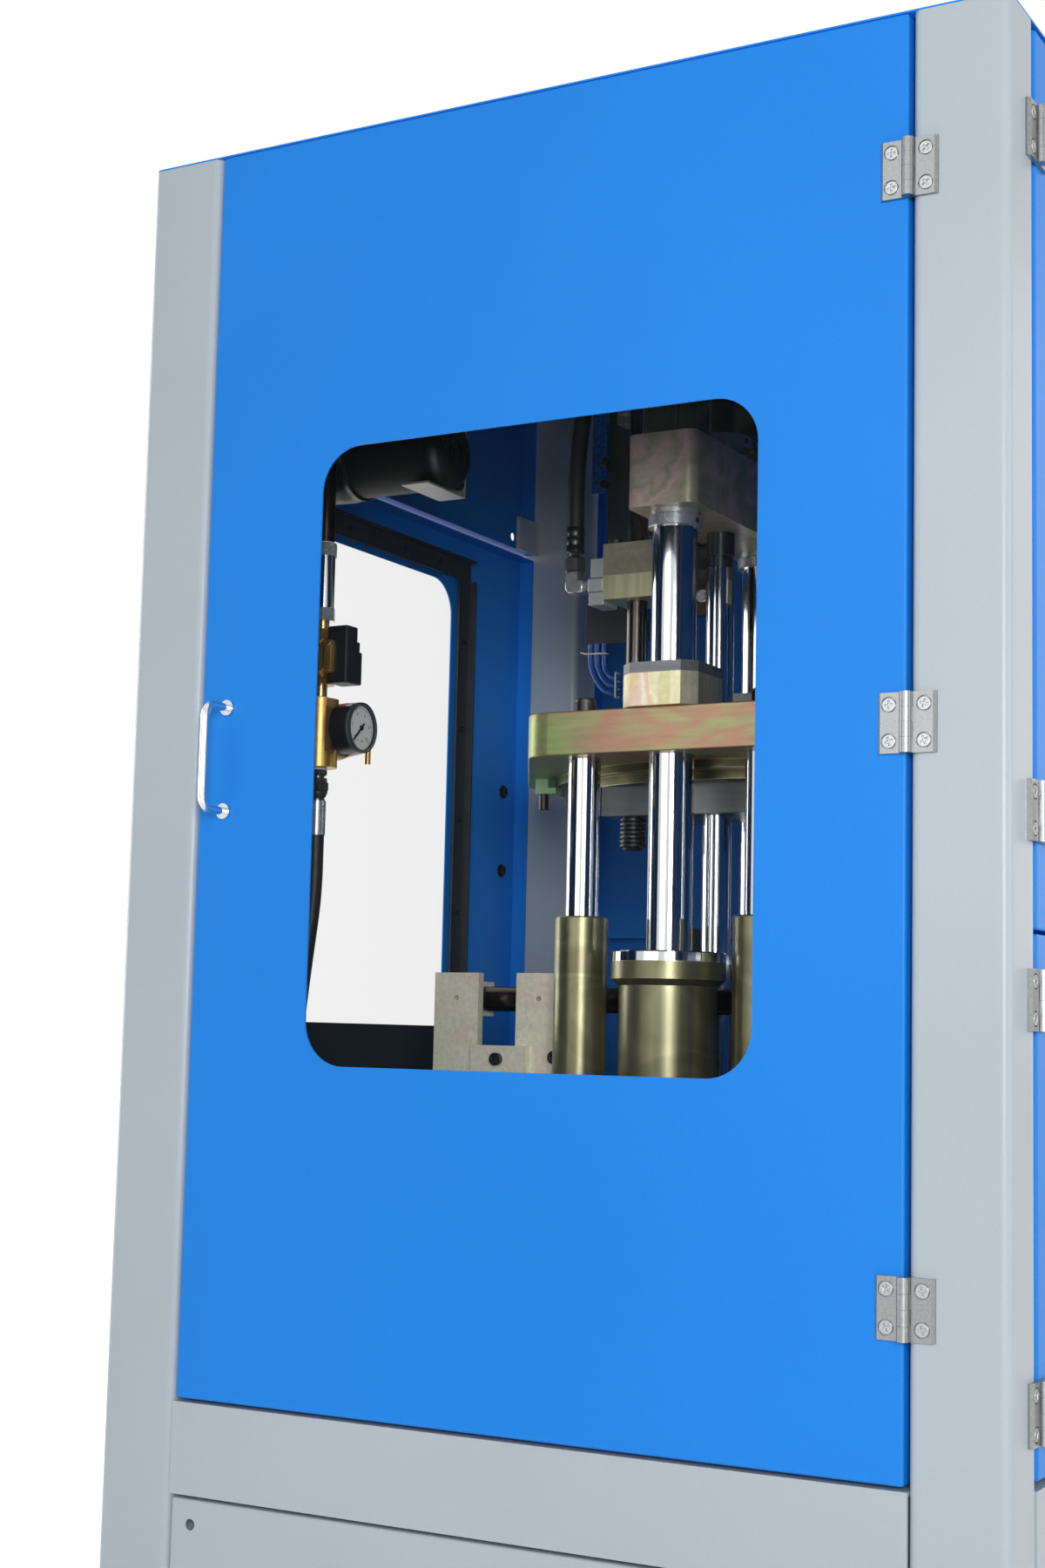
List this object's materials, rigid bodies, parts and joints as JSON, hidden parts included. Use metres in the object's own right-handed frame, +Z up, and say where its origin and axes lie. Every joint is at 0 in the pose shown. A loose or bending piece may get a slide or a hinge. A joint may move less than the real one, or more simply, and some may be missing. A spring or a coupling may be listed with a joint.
{
  "type": "blow moulding machine",
  "caption": "Welded tube cabinet with hinged doors, acrylic windows, bow handles, and a hydraulic column press with air line and gauge inside.",
  "frame": {"origin": "middle of the cabinet's footprint, on the floor under the levelling feet", "axes": "+Z up, -Y out of the front door, +X to the right seen from the front"},
  "size_m": [1.1674, 1.0497, 2.352],
  "materials": {
    "grey_paint": "light grey textured powder coat on welded tube",
    "blue_paint": "blue fine-textured powder coat on folded sheet",
    "clear_pane": "clear acrylic sheet",
    "dark_trim": "dark grey angle strip",
    "hinge_steel": "satin cast stainless steel",
    "chrome": "polished hard chrome",
    "dark_chrome": "dark ground steel with an oil film",
    "yellow_zinc": "iridescent yellow chromate on zinc",
    "bright_steel": "zinc-plated steel fitting",
    "machined_steel": "plain machined steel",
    "black_oxide": "black oxide cap screw",
    "brass": "cast and turned brass",
    "black_plastic": "black moulded plastic",
    "rubber": "black hydraulic and air hose",
    "gauge_black": "black gauge case with a white dial",
    "needle_black": "black pointer",
    "sensor_green": "pale green moulded housing with a black gland",
    "tank_paint": "dark grey enamel",
    "motor_paint": "blue-grey enamel on a ribbed casting",
    "tube_blue": "blue air tubing",
    "drum_black": "black mesh-wrapped silencer"
  },
  "bodies": {
    "cabinet": {"front_posts": "grey_paint", "rear_posts": "grey_paint", "frame_rails": "grey_paint", "roof_panel": "blue_paint", "levelling_feet": "bright_steel", "lower_panels": "grey_paint", "upper_panels": "blue_paint", "panel_tabs": "grey_paint", "bed_plate": "machined_steel", "head_plate": "yellow_zinc", "column_sleeves": "yellow_zinc", "clamp_cylinders": "yellow_zinc", "cylinder_glands": "chrome", "top_beam": "yellow_zinc", "upper_barrels": "yellow_zinc", "centre_column": "chrome", "manifold_blocks": "yellow_zinc", "hose_fitting": "bright_steel", "clamp_hose": "rubber", "guide_shaft": "dark_chrome", "shaft_supports": "yellow_zinc", "silencer_drum": "drum_black", "silencer_bracket": "bright_steel", "air_fittings": "bright_steel", "solenoid_valve": "brass", "solenoid_coil": "black_plastic", "pressure_regulator": "brass", "gauge_case": "gauge_black", "air_hose": "rubber", "frame_hinge_leaves": "hinge_steel", "hinge_pins": "hinge_steel", "oil_tank": "tank_paint", "pump_motor": "motor_paint", "air_tubes": "tube_blue"},
    "front_door": {"front_door": "blue_paint", "front_door_handle": "chrome", "front_door_leaves": "hinge_steel", "front_window": "clear_pane", "front_window_trim": "dark_trim"},
    "left_door": {"left_door": "blue_paint", "left_door_handle": "chrome", "left_door_leaves": "hinge_steel", "left_window": "clear_pane", "left_window_trim": "dark_trim"},
    "right_upper_door": {"right_upper_door": "blue_paint", "right_upper_fittings": "hinge_steel"},
    "right_lower_door": {"right_lower_door": "blue_paint", "right_lower_fittings": "hinge_steel"},
    "platen": {"moving_platen": "yellow_zinc", "platen_columns": "chrome", "clamp_rods": "chrome", "side_rods": "dark_chrome", "rod_clamp_blocks": "yellow_zinc", "rod_clamp_plates": "machined_steel", "mould_disc": "yellow_zinc", "mould_block": "machined_steel", "platen_screws": "black_oxide", "position_sensor": "sensor_green"},
    "gauge_needle": {"gauge_needle": "needle_black"},
    "regulator_handle": {"regulator_handle": "brass"}
  },
  "joints": [
    {"name": "front_door_hinge", "type": "hinge", "parent": "cabinet", "child": "front_door", "pos_m": [0.432, -0.5068, 1.625], "axis": [0, 0, 1], "range_deg": [0, 110]},
    {"name": "left_door_hinge", "type": "hinge", "parent": "cabinet", "child": "left_door", "pos_m": [-0.5408, -0.418, 1.473], "axis": [0, 0, 1], "range_deg": [0, 110]},
    {"name": "right_upper_door_hinge", "type": "hinge", "parent": "cabinet", "child": "right_upper_door", "pos_m": [0.5408, -0.418, 1.887], "axis": [0, 0, -1], "range_deg": [0, 110]},
    {"name": "right_lower_door_hinge", "type": "hinge", "parent": "cabinet", "child": "right_lower_door", "pos_m": [0.5408, -0.418, 1.164], "axis": [0, 0, -1], "range_deg": [0, 110]},
    {"name": "platen_slide", "type": "slide", "parent": "cabinet", "child": "platen", "axis": [0, 0, 1], "range_m": [-0.14, 0.08]},
    {"name": "gauge_needle_pivot", "type": "hinge", "parent": "cabinet", "child": "gauge_needle", "pos_m": [-0.3408, -0.3, 1.683], "axis": [-1, 0, 0], "range_deg": [0, 270]},
    {"name": "regulator_screw", "type": "hinge", "parent": "cabinet", "child": "regulator_handle", "pos_m": [-0.403, -0.2, 1.683], "axis": [0, 1, 0], "range_deg": [-360, 360]}
  ]
}
